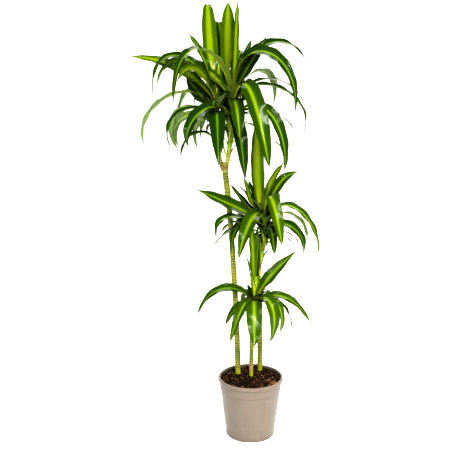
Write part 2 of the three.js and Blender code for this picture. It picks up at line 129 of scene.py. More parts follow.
RIGHT_LEAVES = [
    [214, -14, 70, 270, 0.90, 92, 1.05, 200, 51, 0, 0.85],
    [218, 15, 50, 275, 0.33, 80, 0.66, 185, 26, 60, 0.80],
    [210, -46, 150, 190, 0.58, 100, 0.86, 200, 38, 0, 0.25],
    [200, -170, -140, -5, 0.31, 125, 0.76, 140, 44, -10, 0.25],
    [198, 186, -60, -35, 0.30, 138, 0.80, 112, 44, 35, 0.20],
    [212, 102, 10, 172, 0.35, 64, 0.68, 118, 46, 45, 0.20],
    [204, 240, 70, 80, 0.19, 116, 0.60, 165, 34, 30, 0.10],
    [216, 58, 50, 160, 0.38, 55, 0.67, 108, 28, 20, 0.15],
    [196, 45, 120, 110, 0.25, 90, 0.62, 145, 34, 0, 0.15],
    [185, 108, -170, -165, 0.42, 58, 0.78, -48, 56, 15, 0.34],
    [165, 25, -130, -70, 0.40, 34, 0.74, -10, 44, 0, 0.35],
    [121, 42, -110, -150, 0.42, 10, 0.76, -55, 44, 0, 0.15],
    [150, 160, -60, -160, 0.61, 25, 0.94, -55, 42, 32, 0.25],
    [178, 215, -10, -85, 0.43, 65, 0.91, 20, 30, 15, 0.25],
    [188, 230, 50, -30, 0.34, 65, 0.73, 55, 24, 10, 0.20],
    [190, 130, 110, -20, 0.36, 75, 0.86, 80, 36, -20, 0.15],
    [154, 200, 40, -62, 0.37, 14, 0.72, -4, 22, 10, 0.10],
    [130, 175, 50, -100, 0.35, -10, 0.65, -45, 20, 0, 0.15],
    [172, -230, 40, 65, 0.25, 95, 0.70, 140, 34, -55, 0.85],
    [126, -125, -110, -55, 0.43, 55, 0.90, 20, 48, -15, 0.15],
    [36, 34, -12, -26, 0.42, 34, 0.86, 34, 13, 0, 1.40],
    [22, -13, -8, 46, 0.80, 14, 1.05, 30, 12, 0, 1.60],
    [45, 12, -10, 66, 0.50, 22, 0.85, 44, 14, 0, 1.80],
    [78, -9, -10, 66, 0.40, 22, 0.80, 44, 12, 0, 1.40],
    [62, 34, -8, 30, 0.40, 26, 0.75, 40, 12, 0, 0.60],
]
MIDDLE_LEAVES = [
    [226, -20, 40, 290, 0.85, 90, 1.00, 200, 47, 0, 0.95],
    [228, 64, 0, 154, 0.30, 66, 0.62, 115, 28, 40, 1.00],
    [216, 110, 40, 130, 0.31, 68, 0.61, 112, 36, 40, 0.35],
    [208, 54, -110, -62, 0.36, 74, 0.74, 12, 46, 0, 0.50],
    [188, 170, -30, -100, 0.44, 60, 0.86, 4, 34, 20, 0.40],
    [180, 140, 50, -60, 0.45, 35, 0.85, 5, 28, -20, 0.35],
    [164, 120, -30, -75, 0.50, 26, 0.92, -8, 38, 25, 0.15],
    [154, 105, 30, -70, 0.47, 5, 0.93, -20, 16, 0, 0.15],
    [144, 95, 10, -40, 0.47, 5, 0.81, -10, 14, 0, 0.15],
    [150, 28, -90, -40, 0.55, 34, 0.84, 2, 30, 0, 0.20],
    [194, -80, -110, -95, 0.30, 32, 0.69, -8, 52, -10, 0.40],
    [174, -105, -50, -70, 0.48, 35, 0.85, 5, 32, -20, 0.20],
    [202, -205, -75, 108, 0.33, 34, 0.66, 72, 46, -50, 0.32],
    [210, -105, 50, 95, 0.46, 30, 0.73, 60, 22, -20, 0.20],
    [216, -75, 70, 80, 0.33, 25, 0.66, 55, 20, 0, 0.20],
    [224, -60, 30, 105, 0.56, 25, 0.79, 65, 24, -20, 0.80],
    [222, -45, 50, 95, 0.33, 30, 0.66, 60, 26, 0, 0.20],
    [184, -150, -70, -30, 0.50, 30, 0.89, 30, 34, -15, 0.15],
    [165, -140, -96, 5, 0.45, 32, 0.77, 40, 20, 0, 0.15],
    [154, -165, -75, -25, 0.42, 25, 0.70, 20, 22, 0, 0.15],
    [62, 26, -20, 82, 0.28, 32, 0.62, 62, 12, 0, 0.90],
    [78, -20, -24, 74, 0.30, 30, 0.65, 56, 12, 0, 0.80],
]
SHORT_LEAVES = [
    [62, -10, 8, 220, 0.35, 80, 0.72, 172, 46, 0, 0.70],
    [58, 15, 20, 190, 0.33, 65, 0.66, 130, 30, 0, 0.45],
    [64, 5, -90, 45, 0.35, 55, 0.70, 80, 30, 0, 1.00],
    [60, -32, 30, 155, 0.33, 50, 0.66, 110, 28, 50, 0.20],
    [52, 135, 30, 150, 0.28, 50, 0.56, 95, 44, 35, 0.40],
    [40, -182, -10, -45, 0.31, 44, 0.69, 36, 34, -32, 0.15],
    [28, -90, -20, -60, 0.37, 5, 0.72, -15, 34, -25, 0.20],
    [34, -75, -100, -95, 0.33, 15, 0.68, -25, 38, 0, 0.36],
    [30, 1, -120, -95, 0.35, 15, 0.70, -40, 52, 0, 0.38],
    [38, 48, -64, -112, 0.90, 28, 1.30, -25, 40, 15, 0.40],
    [32, 80, -30, -95, 0.71, 25, 1.09, -20, 28, 30, 0.40],
    [48, 60, 40, -15, 0.50, 25, 0.83, 15, 28, 0, 0.90],
    [44, 185, -20, -75, 0.32, 20, 0.65, 5, 32, 32, 0.25],
    [26, 125, 20, -145, 0.59, 12, 0.93, -42, 22, 20, 0.10],
    [50, -20, 30, 40, 0.33, 10, 0.66, 25, 20, 0, 0.10],
]

# The rules for the other leaves of each shoot: far ones on its far side, short ones at the back
# of its heart, short ones that fill the heart, small dark inner ones around it that hang, and
# sheaths, narrow pale leaf bases that clasp the bare part. A rule is a seed, the headings in
# degrees from +X towards +Y or else the number of leaves, the limits of their roots' heights,
# and the limits of their lengths.
LEFT_RULES = {
    "far": (11, [105, 126, 148], (110, 205), (200, 290)),
    "back": (81, [62, 84, 106, 128, 73, 95], (110, 205), (100, 150)),
    "heart": (51, 5, (110, 195), (80, 120)),
    "inner": (71, 9, (95, 190), (60, 90)),
    "sheaths": (61, 6, (14, 100), (50, 80)),
}
RIGHT_RULES = {
    "far": (23, [28, 45, 62, 80, 98], (110, 210), (200, 300)),
    "back": (83, [55, 78, 100, 122, 68, 90], (110, 210), (100, 150)),
    "heart": (53, 5, (110, 200), (80, 120)),
    "inner": (73, 14, (85, 200), (60, 100)),
    "sheaths": (63, 9, (10, 105), (55, 90)),
}
MIDDLE_RULES = {
    "far": (37, [58, 74, 92, 112, 134], (140, 225), (160, 240)),
    "back": (87, [60, 85, 110, 72, 98], (120, 215), (90, 130)),
    "heart": (57, 5, (120, 210), (70, 110)),
    "inner": (77, 14, (110, 215), (55, 90)),
    "sheaths": (67, 11, (45, 150), (50, 85)),
}
SHORT_RULES = {
    "far": (41, [24, 42, 102, 124], (10, 22), (100, 125)),
    "back": (89, [60, 95, 125], (14, 44), (70, 90)),
    "heart": (59, 2, (20, 34), (45, 55)),
    "inner": (79, 6, (16, 50), (40, 60)),
    "sheaths": (69, 3, (8, 24), (34, 46)),
}

GOLDEN_ANGLE = 137.5  # degrees from one leaf's heading to the next
GOLDEN_SHARE = 0.6180339  # spreads the leaves' numbers evenly from 0 to 1

# ---------------- numbers and curves


def seeded(seed):
    """A draw between two limits that gives the same values in the same order each time. Each
    state is what a large prime leaves of a fixed multiple of the one before."""
    factor, prime = 16807, 2**31 - 1
    state = seed

    def draw(low, high):
        nonlocal state
        state = (state * factor) % prime
        return low + (high - low) * (state / prime)

    return draw


def line_at(points, z):
    """Points of a centre line at the heights z: between two of its points, a cubic in the
    height whose slopes there are those of the chords between the neighbours."""
    line = np.array(points, float)
    z = np.atleast_1d(np.asarray(z, float))
    last = len(line) - 1
    i = np.searchsorted(line[1:-1, 2], z, side="left")
    before, a, b = line[np.maximum(i - 1, 0)], line[i], line[i + 1]
    after = line[np.minimum(i + 2, last)]
    span = (b - a)[:, 2:]
    t = (z[:, None] - a[:, 2:]) / span
    leave = (b - before) / (b - before)[:, 2:] * span
    arrive = (after - a) / (after - a)[:, 2:] * span
    place = (
        a * (2 * t**3 - 3 * t**2 + 1)
        + leave * (t**3 - 2 * t**2 + t)
        + b * (3 * t**2 - 2 * t**3)
        + arrive * (t**3 - t**2)
    )
    place[:, 2] = z
    return place


def unit(vectors):
    """The same directions, each of length 1."""
    return vectors / np.linalg.norm(vectors, axis=-1, keepdims=True)


def smooth_step(low, high, x):
    """0 up to low, 1 from high on, and 3 t^2 - 2 t^3 of the share t of the way between."""
    t = np.clip((x - low) / (high - low), 0, 1)
    return t * t * (3 - 2 * t)


def lumps(x, y, size, seed, count=7):
    """A smooth random field from about -1 to 1 over a plane: a sum of plane waves of about
    that size that run in random directions."""
    gain = 1.6  # the waves seldom peak at one place
    rng = np.random.default_rng(seed)
    total = np.zeros(np.broadcast(x, y).shape)
    for heading, phase, share in rng.uniform(0, 1, (count, 3)):
        turn, wave = 2 * np.pi * heading, 2 * np.pi / (size * (0.7 + 0.8 * share))
        total += np.sin(wave * (x * np.cos(turn) + y * np.sin(turn)) + 2 * np.pi * phase)
    return total / count * gain


# ---------------- meshes


def tube_faces(rings, count, first=0):
    """Four-sided faces between neighbouring rings of count points, and one at each end."""
    row = first + np.arange(rings - 1)[:, None] * count
    here = np.arange(count)
    after = (here + 1) % count
    quads = np.stack([row + here, row + after, row + count + after, row + count + here], -1)
    ends = [
        [first + count - 1 - k for k in range(count)],
        [first + (rings - 1) * count + k for k in range(count)],
    ]
    return quads.reshape(-1, 4).tolist() + ends


def capped_faces(rings, count):
    """Four-sided faces between neighbouring rings of count points, and a fan at each end, to
    two middle points that follow the rings."""
    last = (rings - 1) * count
    faces = tube_faces(rings, count)[:-2]
    faces += [[(k + 1) % count, k, rings * count] for k in range(count)]
    faces += [[last + k, last + (k + 1) % count, rings * count + 1] for k in range(count)]
    return faces


def piece(name, places, faces, material, stands_for, marks=None, uv=None, crease=40):
    """A finished piece from places in millimetres: smooth but for creases over that angle,
    with a number at each point for every mark, riding on the plant."""
    mesh = bpy.data.meshes.new(name)
    mesh.from_pydata((np.asarray(places) * MM).tolist(), [], faces)
    mesh.update()
    for key, values in (marks or {}).items():
        layer = mesh.attributes.new(key, "FLOAT", "POINT")
        layer.data.foreach_set("value", np.ascontiguousarray(values, np.float32))
    if uv is not None:
        corner = np.zeros(len(mesh.loops), np.int32)
        mesh.loops.foreach_get("vertex_index", corner)
        layer = mesh.uv_layers.new(name="UVMap")
        layer.data.foreach_set("uv", np.asarray(uv, np.float32)[corner].ravel())
    mesh.polygons.foreach_set("use_smooth", np.ones(len(mesh.polygons), bool))
    mesh.set_sharp_from_angle(angle=math.radians(crease))
    mesh.materials.append(material)
    made = bpy.data.objects.new(name, mesh)
    bpy.context.scene.collection.objects.link(made)
    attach(made, "root")
    if stands_for:
        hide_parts(stands_for)
    return made


# ---------------- materials


def linear(code):
    """An sRGB hex colour as linear red, green, blue and 1."""
    shares = [int(code[i : i + 2], 16) / 255 for i in (1, 3, 5)]
    return [c / 12.92 if c <= 0.04045 else ((c + 0.055) / 1.055) ** 2.4 for c in shares] + [1]


# Sockets by number: a map range takes 0 from the limits 1 and 2 to the limits 3 and 4, and a
# colour mix goes by its share 0 from colour 6 to colour 7 and gives them at its output 2.
SOFT = {"interpolation_type": "SMOOTHSTEP"}
COLOURS = {"data_type": "RGBA"}


def node(tree, kind, inputs=None, output=0, **settings):
    """Adds a shader node: settings are its own, inputs gives its sockets a value or a link,
    and the socket that comes back is the output asked for."""
    made = tree.nodes.new("ShaderNode" + kind)
    for key, value in settings.items():
        setattr(made, key, value)
    for key, value in (inputs or {}).items():
        if isinstance(value, bpy.types.NodeSocket):
            tree.links.new(value, made.inputs[key])
        else:
            made.inputs[key].default_value = value
    return made.outputs[output]


def new_material(name, **finish):
    """A material with its tree and its shader, whose even values are set on its sockets."""
    made = bpy.data.materials.new(name)
    made.use_nodes = True
    tree = made.node_tree
    shader = next(n for n in tree.nodes if n.type == "BSDF_PRINCIPLED")
    for key, value in finish.items():
        shader.inputs[key.replace("_", " ")].default_value = value
    return made, tree, shader


def connect(tree, shader, **links):
    """Links a socket to each of the shader's inputs of those names."""
    for key, socket in links.items():
        tree.links.new(socket, shader.inputs[key.replace("_", " ")])


def leaf_material():
    """Dracaena leaf, a smooth waxed cuticle over green tissue: deep green margins, a lime
    stripe that breaks up into streaks along the blade, a satin gloss above, and a greyer,
    duller underside. The mark youth widens the stripe and lightens the margins."""
    made, tree, shader = new_material("dracaena_leaf", IOR=1.46, Specular_IOR_Level=0.3)
    place = node(tree, "UVMap", uv_map="UVMap")
    across = node(tree, "SeparateXYZ", {0: place})
    along = across.node.outputs[1]
    youth = node(tree, "Attribute", output="Fac", attribute_name="youth")
    underside = node(tree, "Attribute", output="Fac", attribute_name="underside")
    number = node(tree, "Attribute", output="Fac", attribute_name="leaf_number")

    # Streaks run along the blade: broad ones about a ninth of its width, and fine ones. The
    # leaf's number moves them, so that no two leaves are alike.
    turn = node(tree, "Math", {0: number, 1: 40.0}, operation="MULTIPLY")
    spot = node(tree, "CombineXYZ", {0: across, 1: along, 2: turn})
    wide = node(tree, "Mapping", {"Vector": spot, "Scale": (9.0, 1.6, 1.0)})
    broad = node(tree, "TexNoise", {"Vector": wide, "Scale": 1.0, "Detail": 2.0})
    narrow = node(tree, "Mapping", {"Vector": spot, "Scale": (34.0, 2.2, 1.3)})
    fine = node(tree, "TexNoise", {"Vector": narrow, "Scale": 1.0, "Detail": 2.0})

    off = node(tree, "Math", {0: across, 1: 0.5}, operation="SUBTRACT")
    off = node(tree, "Math", {0: off}, operation="ABSOLUTE")
    off = node(tree, "Math", {0: off, 1: 2.0, 2: -0.16}, operation="MULTIPLY_ADD")
    off = node(tree, "Math", {0: broad, 1: 0.18, 2: off}, operation="MULTIPLY_ADD")
    off = node(tree, "Math", {0: fine, 1: 0.14, 2: off}, operation="MULTIPLY_ADD")
    reach = node(tree, "Math", {0: youth, 1: 0.36, 2: 0.06}, operation="MULTIPLY_ADD")
    taper = node(tree, "MapRange", {0: along, 1: 0.5, 2: 1.0, 3: 1.0, 4: 0.6})
    reach = node(tree, "Math", {0: reach, 1: taper}, operation="MULTIPLY")
    past = node(tree, "Math", {0: off, 1: reach}, operation="SUBTRACT")
    stripe = node(tree, "MapRange", {0: past, 1: -0.12, 2: 0.09, 3: 1.0, 4: 0.0}, **SOFT)
    halo = node(tree, "MapRange", {0: past, 1: 0.0, 2: 0.3, 3: 0.8, 4: 0.0}, **SOFT)

    margin, beside, lime = (
        node(tree, "Mix", {0: youth, 6: linear(old), 7: linear(young)}, 2, **COLOURS)
        for old, young in (("#1c3408", "#4a6000"), ("#264c00", "#708200"), ("#708710", "#7a8a0e"))
    )
    # Painted light: the leaves of the lower crowns get lighter margins, as if more light reached
    # them.
    position = node(tree, "TexCoord", output="Object")
    height = node(tree, "SeparateXYZ", {0: position}).node.outputs[2]
    low = node(tree, "MapRange", {0: height, 1: 0.45, 2: 0.95, 3: 0.16, 4: 0.0})
    margin = node(tree, "Mix", {0: low, 6: margin, 7: linear("#587010")}, 2, **COLOURS)
    upper = node(tree, "Mix", {0: halo, 6: margin, 7: beside}, 2, **COLOURS)
    upper = node(tree, "Mix", {0: stripe, 6: upper, 7: lime}, 2, **COLOURS)
    lower = node(
        tree, "Mix", {0: stripe, 6: linear("#64744f"), 7: linear("#92a26a")}, 2, **COLOURS
    )
    fresh = node(tree, "Math", {0: youth, 1: 0.8}, operation="MULTIPLY")
    lower = node(tree, "Mix", {0: fresh, 6: lower, 7: linear("#7c9a20")}, 2, **COLOURS)
    duller = node(tree, "MapRange", {0: along, 1: 0.15, 2: 0.5, 3: 0.25, 4: 1.0}, **SOFT)
    duller = node(tree, "Math", {0: duller, 1: underside}, operation="MULTIPLY")
    colour = node(tree, "Mix", {0: duller, 6: upper, 7: lower}, 2, **COLOURS)
    # The stripe is paler at the clasping root, farther out below than above, and the last
    # few millimetres of the tip are dry.
    out = node(tree, "Math", {0: underside, 1: -0.3, 2: along}, operation="MULTIPLY_ADD")
    pale = node(tree, "MapRange", {0: out, 1: 0.04, 2: 0.3, 3: 0.9, 4: 0.0}, **SOFT)
    inside = node(tree, "Math", {0: stripe, 1: 0.8, 2: 0.2}, operation="MULTIPLY_ADD")
    pale = node(tree, "Math", {0: pale, 1: inside}, operation="MULTIPLY")
    colour = node(tree, "Mix", {0: pale, 6: colour, 7: linear("#aab230")}, 2, **COLOURS)
    dry = node(tree, "MapRange", {0: along, 1: 0.97, 2: 1.0, 3: 0.0, 4: 0.8}, **SOFT)
    colour = node(tree, "Mix", {0: dry, 6: colour, 7: linear("#5f5a26")}, 2, **COLOURS)

    gloss = node(tree, "MapRange", {0: broad, 1: 0.3, 2: 0.7, 3: 0.11, 4: 0.17})
    rough = node(tree, "Mix", {0: underside, 2: gloss, 3: 0.52})
    # Real veins lie under 1 mm apart. They are drawn 2 to 4 mm apart, so that they show.
    veins = node(tree, "TexWave", {"Vector": place, "Scale": 3.4}, "Fac", bands_direction="X")
    relief = node(tree, "Math", {0: veins, 1: fine}, operation="ADD")
    bump = node(tree, "Bump", {"Strength": 0.12, "Distance": 0.0006, "Height": relief})
    connect(tree, shader, Base_Color=colour, Roughness=rough, Normal=bump)
    return made


def cane_material(name, skin, flush, patch, scar, bark, foot_glow):
    """Dracaena cane, a thin living bark: olive to lime skin, brown corky patches, and a
    dark ring with a pale lower edge at each leaf scar."""
    made, tree, shader = new_material(name, IOR=1.45)
    place = node(tree, "TexCoord", output="Object")
    # Patches about 25 mm wide, corky specks about 3 mm, and fine grain about 1 mm.
    broad = node(tree, "Mapping", {"Vector": place, "Scale": (40.0, 40.0, 28.0)})
    patches = node(tree, "TexNoise", {"Vector": broad, "Scale": 1.0, "Detail": 4.0})
    small = node(tree, "Mapping", {"Vector": place, "Scale": (330.0, 330.0, 200.0)})
    specks = node(tree, "TexNoise", {"Vector": small, "Scale": 1.0, "Detail": 4.0})
    grain = node(tree, "TexNoise", {"Vector": place, "Scale": 900.0, "Detail": 2.0})
    height = node(tree, "SeparateXYZ", {0: place}).node.outputs[2]

    flushed = node(tree, "MapRange", {0: patches, 1: 0.35, 2: 0.65}, **SOFT)
    colour = node(tree, "Mix", {0: flushed, 6: linear(skin), 7: linear(flush)}, 2, **COLOURS)
    corky = node(tree, "MapRange", {0: specks, 1: 0.56, 2: 0.70, 4: 0.75}, **SOFT)
    colour = node(tree, "Mix", {0: corky, 6: colour, 7: linear(patch)}, 2, **COLOURS)
    edge = node(tree, "Attribute", output="Fac", attribute_name="pale")
    edge = node(tree, "Math", {0: edge, 1: 0.4}, operation="MULTIPLY")
    colour = node(tree, "Mix", {0: edge, 6: colour, 7: linear("#b9bc6a")}, 2, **COLOURS)
    ring = node(tree, "Attribute", output="Fac", attribute_name="scar")
    # The rings are broken: the noise lets some of each one through.
    ring = node(tree, "Math", {0: ring, 1: patches}, operation="MULTIPLY")
    ring = node(tree, "MapRange", {0: ring, 1: 0.1, 2: 0.5, 4: 0.9}, **SOFT)
    # Where the patches are thick, a ring turns from its own colour to a rusty brown.
    rusty = node(tree, "MapRange", {0: patches, 1: 0.46, 2: 0.58}, **SOFT)
    scar_tint = node(tree, "Mix", {0: rusty, 6: linear(scar), 7: linear("#6e4222")}, 2, **COLOURS)
    colour = node(tree, "Mix", {0: ring, 6: colour, 7: scar_tint}, 2, **COLOURS)
    glow = node(tree, "MapRange", {0: height, 1: 0.197, 2: 0.232, 3: foot_glow, 4: 0.0}, **SOFT)
    colour = node(tree, "Mix", {0: glow, 6: colour, 7: linear("#a2a61c")}, 2, **COLOURS)
    browned = node(tree, "Attribute", output="Fac", attribute_name="brown")
    flaky = node(tree, "MapRange", {0: specks, 1: 0.35, 2: 0.6, 3: 0.35, 4: 1.0})
    browned = node(tree, "Math", {0: browned, 1: flaky}, operation="MULTIPLY")
    colour = node(tree, "Mix", {0: browned, 6: colour, 7: linear(bark)}, 2, **COLOURS)
    deep = node(tree, "Attribute", output="Fac", attribute_name="deep")
    colour = node(tree, "Mix", {0: deep, 6: colour, 7: linear("#1c3408")}, 2, **COLOURS)
    rough = node(tree, "MapRange", {0: patches, 1: 0.3, 2: 0.7, 3: 0.42, 4: 0.62})
    coarse = node(tree, "Bump", {"Strength": 0.5, "Distance": 0.0008, "Height": specks})
    bump = node(
        tree, "Bump", {"Strength": 0.25, "Distance": 0.0004, "Height": grain, "Normal": coarse}
    )
    connect(tree, shader, Base_Color=colour, Roughness=rough, Normal=bump)
    return made


def pot_material():
    """Polypropylene, injection moulded: a taupe satin skin with a fine even grain from the mould,
    slightly uneven pigment, and painted shade that darkens it towards the foot."""
    made, tree, shader = new_material("taupe_polypropylene", IOR=1.49)
    place = node(tree, "TexCoord", output="Object")
    # Pigment clouds about 30 mm wide, and mould grain about 0.8 mm, coarser than life.
    clouds = node(tree, "TexNoise", {"Vector": place, "Scale": 33.0, "Detail": 3.0})
    grain = node(tree, "TexNoise", {"Vector": place, "Scale": 1250.0, "Detail": 1.0})
    tint = node(tree, "MapRange", {0: clouds, 1: 0.3, 2: 0.7})
    colour = node(
        tree, "Mix", {0: tint, 6: linear("#70665b"), 7: linear("#766b60")}, 2, **COLOURS
    )
    height = node(tree, "SeparateXYZ", {0: place}).node.outputs[2]
    # Painted shade: the skin darkens over the lowest 30 mm, towards the floor.
    painted_foot_shade = node(tree, "MapRange", {0: height, 1: 0.0, 2: 0.03, 3: 0.3, 4: 0.0})
    colour = node(tree, "Mix", {0: painted_foot_shade, 6: colour, 7: linear("#594f44")}, 2, **COLOURS)
    # Underneath, and inside the drain slots, the plastic is painted near-black: painted shade
    # where the slots and the underside lie in shadow.
    flat = node(tree, "Mapping", {"Vector": place, "Scale": (1.0, 1.0, 0.0)})
    out = node(tree, "VectorMath", {0: flat}, "Value", operation="LENGTH")
    foot = (POT_BASE_RADIUS - 1) * MM
    inner = node(tree, "MapRange", {0: out, 1: foot - MM, 2: foot, 3: 1.0, 4: 0.0})
    top = (DRAIN_HEIGHT + 0.5) * MM
    painted_slot_shade = node(tree, "MapRange", {0: height, 1: top, 2: top + MM, 3: 1.0, 4: 0.0})
    painted_slot_shade = node(tree, "Math", {0: painted_slot_shade, 1: inner}, operation="MULTIPLY")
    colour = node(tree, "Mix", {0: painted_slot_shade, 6: colour, 7: linear("#1d1612")}, 2, **COLOURS)
    rough = node(tree, "MapRange", {0: clouds, 1: 0.3, 2: 0.7, 3: 0.36, 4: 0.44})
    bump = node(tree, "Bump", {"Strength": 0.12, "Distance": 0.0002, "Height": grain})
    connect(tree, shader, Base_Color=colour, Roughness=rough, Normal=bump)
    return made


def soil_material(name, dark, light, rough):
    """Peat potting mix, crumbled and moist: near-black brown crumbs with paler fibre. The
    mark tint picks each crumb's own shade."""
    made, tree, shader = new_material(name, Roughness=rough, Specular_IOR_Level=0.25)
    place = node(tree, "TexCoord", output="Object")
    # Crumb grain about 1.5 mm.
    grain = node(tree, "TexNoise", {"Vector": place, "Scale": 650.0, "Detail": 4.0})
    tint = node(tree, "Attribute", output="Fac", attribute_name="tint")
    mixed = node(tree, "Math", {0: grain, 1: 0.5, 2: tint}, operation="MULTIPLY_ADD")
    share = node(tree, "MapRange", {0: mixed, 1: 0.25, 2: 1.25})
    colour = node(tree, "Mix", {0: share, 6: linear(dark), 7: linear(light)}, 2, **COLOURS)
    bump = node(tree, "Bump", {"Strength": 0.8, "Distance": 0.001, "Height": grain})
    connect(tree, shader, Base_Color=colour, Normal=bump)
    return made


# ---------------- leaves

BLADE_ROWS = 40  # rings of points along a blade
ACROSS = np.array([-1, -0.9, -0.68, -0.42, -0.18, 0, 0.18, 0.42, 0.68, 0.9, 1])
MARGIN_THICK = 0.35
MIDRIB_THICK = 0.9
TIP_HALF = 0.4  # half the width that the tip is drawn out to
ROLLED_BY = 0.4  # share of its way by which a blade has its full roll
RIPPLE = 1.5  # how far the margins ripple up and down
RIPPLE_LENGTH = (55, 85)  # limits of one ripple's length along the blade


def blade_width(t):
    """Share of the full width: a clasping root, the widest place before the middle, and a
    long sharp tip."""
    widest = 0.45
    grows = 0.35 + 0.65 * np.sin(np.pi / 2 * np.minimum(t / widest, 1))
    return np.where(t < widest, grows, 1 - (np.maximum(t - widest, 0) / (1 - widest)) ** 2.2)


def blade_fold(t):
    """How far the margins rise above the midrib, as a share of the half width: a deep
    channel at the root that opens out towards the tip."""
    return 0.22 + 0.5 * (1 - t) ** 3


def blade(shoot, row, number):
    """One leaf: its points, their places on the blade, whether they are under it, and its youth.
    The midrib is the cubic through four points; across it the blade is a shallow channel,
    the height growing with the distance from the midrib, and the margins ripple. Upper and
    lower faces meet along the margins, and the blade is thickest at the midrib."""
    up, x, y, z, out1, rise1, out2, rise2, width, roll, youth = row
    heading = np.array([x, y, 0.0]) / math.hypot(x, y)
    root = heading * ROOT_RADIUS
    first = np.array([out1 * x, out1 * y, rise1])
    second = np.array([out2 * x, out2 * y, rise2])
    tip = np.array([x, y, z], float)
    # The two handles with which the cubic passes through the points at the thirds.
    near = (-5 * root + 18 * first - 9 * second + 2 * tip) / 6
    far = (2 * root - 9 * first + 18 * second - 5 * tip) / 6
    t = np.linspace(0, 1, BLADE_ROWS)[:, None]
    u = 1 - t
    centre = u**3 * root + 3 * u**2 * t * near + 3 * u * t**2 * far + t**3 * tip
    along = unit(u**2 * (near - root) + 2 * u * t * (far - near) + t**2 * (tip - far))
    centre = centre + line_at(shoot, shoot[0][2] + up)
    length = np.linalg.norm(np.diff(centre, axis=0), axis=1).sum()

    turn = math.radians(roll) * np.minimum(t / ROLLED_BY, 1)
    level = np.array([heading[1], -heading[0], 0.0])
    side = level * np.cos(turn) + np.cross(along, level) * np.sin(turn)
    normal = np.cross(side, along)
    half = np.maximum(width / 2 * blade_width(t), TIP_HALF)
    draw = seeded(1000 + number)
    waves = length / draw(*RIPPLE_LENGTH)
    phase, skew = draw(0, 2 * np.pi), draw(1.5, 4.0)
    shelter = smooth_step(0, 0.15, t) * smooth_step(1, 0.9, t)
    s = ACROSS[None, :]
    channel = blade_fold(t) * half * np.abs(s) ** 1.25
    swing = np.sin(2 * np.pi * waves * t + phase + skew * (s > 0))
    rise = channel + RIPPLE * shelter * s**2 * swing
    thick = MARGIN_THICK + (MIDRIB_THICK - MARGIN_THICK) * (1 - s**2) * np.ones_like(t)
    spread = side[:, None] * (s * half)[..., None]
    upper = centre[:, None] + spread + normal[:, None] * rise[..., None]
    lower = upper - normal[:, None] * thick[..., None]
    rings = np.concatenate([upper, lower[:, ::-1]], 1)
    across = np.broadcast_to((s + 1) / 2, rise.shape)
    uv = np.stack(
        [np.concatenate([across, across[:, ::-1]], 1), np.repeat(t, 2 * len(ACROSS), 1)], -1
    )
    under = np.concatenate([np.zeros_like(rise), np.ones_like(rise)], 1)
    return rings.reshape(-1, 3), uv.reshape(-1, 2), under.ravel(), np.full(under.size, youth)


def far_leaves(rule):
    """Rows for the leaves on the far side of a shoot: they rise, arch over and hang."""
    seed, headings, up, length = rule
    draw, age = seeded(seed), seeded(seed + 100)
    rows = []
    for heading in headings:
        turn = math.radians(heading)
        reach = 0.6 * draw(*length)
        high = draw(0, 1)
        rows.append([
            up[0] + (up[1] - up[0]) * high, reach * math.cos(turn), reach * math.sin(turn),
            reach * (0.5 * high - 0.6), 0.35, reach * (0.3 + 0.3 * high), 0.75,
            reach * (0.2 + 0.45 * high), draw(28, 38), 0, age(0.15, 0.55),
        ])
    return rows


def round_the_shoot(rule, strays):
    """For each leaf of a rule, a golden angle from the last and up to strays degrees more:
    the rule's draw, the root's height, the heading as x and y, and the length."""
    seed, count, up, length = rule
    draw = seeded(seed)
    for k in range(count):
        turn = math.radians(GOLDEN_ANGLE * k + draw(0, strays))
        long = draw(*length)
        height = up[0] + (up[1] - up[0]) * k / (count - 1)
        yield draw, height, math.cos(turn), math.sin(turn), long


def heart_leaves(rule):
    """Rows for the short leaves at the heart of a shoot."""
    age = seeded(rule[0] + 100)
    rows = []
    for draw, up, x, y, long in round_the_shoot(rule, 40):
        reach, rise = 0.55 * long, draw(0.45, 0.8) * long
        rows.append([
            up, reach * x, reach * y, rise, 0.3, 0.45 * rise, 0.65, 0.8 * rise,
            draw(22, 30), 0, age(0.05, 0.35),
        ])
    return rows


def inner_leaves(rule):
    """Rows for the small leaves around the heart of a shoot: they arch over and hang."""
    rows = []
    for draw, up, x, y, long in round_the_shoot(rule, 40):
        reach, rise, drop = 0.5 * long, draw(0.2, 0.4) * long, draw(0.0, 0.4) * long
        rows.append([
            up, reach * x, reach * y, -drop, 0.42, rise, 0.8, 0.7 * rise - 0.2 * drop,
            draw(16, 24), 0, draw(0.0, 0.2),
        ])
    return rows


def sheath_leaves(rule):
    """Rows for the narrow leaf bases along a shoot: they stand up close to it and splay a
    little at the tip."""
    rows = []
    for draw, up, x, y, long in round_the_shoot(rule, 30):
        reach, rise = draw(0.25, 0.6) * long, draw(0.5, 0.85) * long
        rows.append([
            up, reach * x, reach * y, rise, 0.3, 0.32 * rise, 0.55, 0.68 * rise,
            draw(12, 18), 0, draw(0.5, 1.8),
        ])
    return rows


def foliage(name, shoot, stands_for, first_number, large, far, back, heart, inner, sheaths):
    """All the leaves of one shoot as one piece: the large ones as they are listed, and the
    others by their rules."""
    rows = large + far_leaves(far) + far_leaves(back) + heart_leaves(heart)
    rows += inner_leaves(inner) + sheath_leaves(sheaths)
    numbers = range(first_number, first_number + len(rows))
    blades = [blade(shoot, row, number) for row, number in zip(rows, numbers)]
    places, uv, under, youth = (np.concatenate(part) for part in zip(*blades))
    ring = 2 * len(ACROSS)
    points = BLADE_ROWS * ring
    faces = []
    for k in range(len(rows)):
        faces += tube_faces(BLADE_ROWS, ring, k * points)
    own = np.repeat([number * GOLDEN_SHARE % 1 for number in numbers], points)
    marks = {"underside": under, "youth": youth, "leaf_number": own}
    return piece(name, places, faces, LEAF, stands_for, marks, uv, crease=60)


# ---------------- canes and shoots

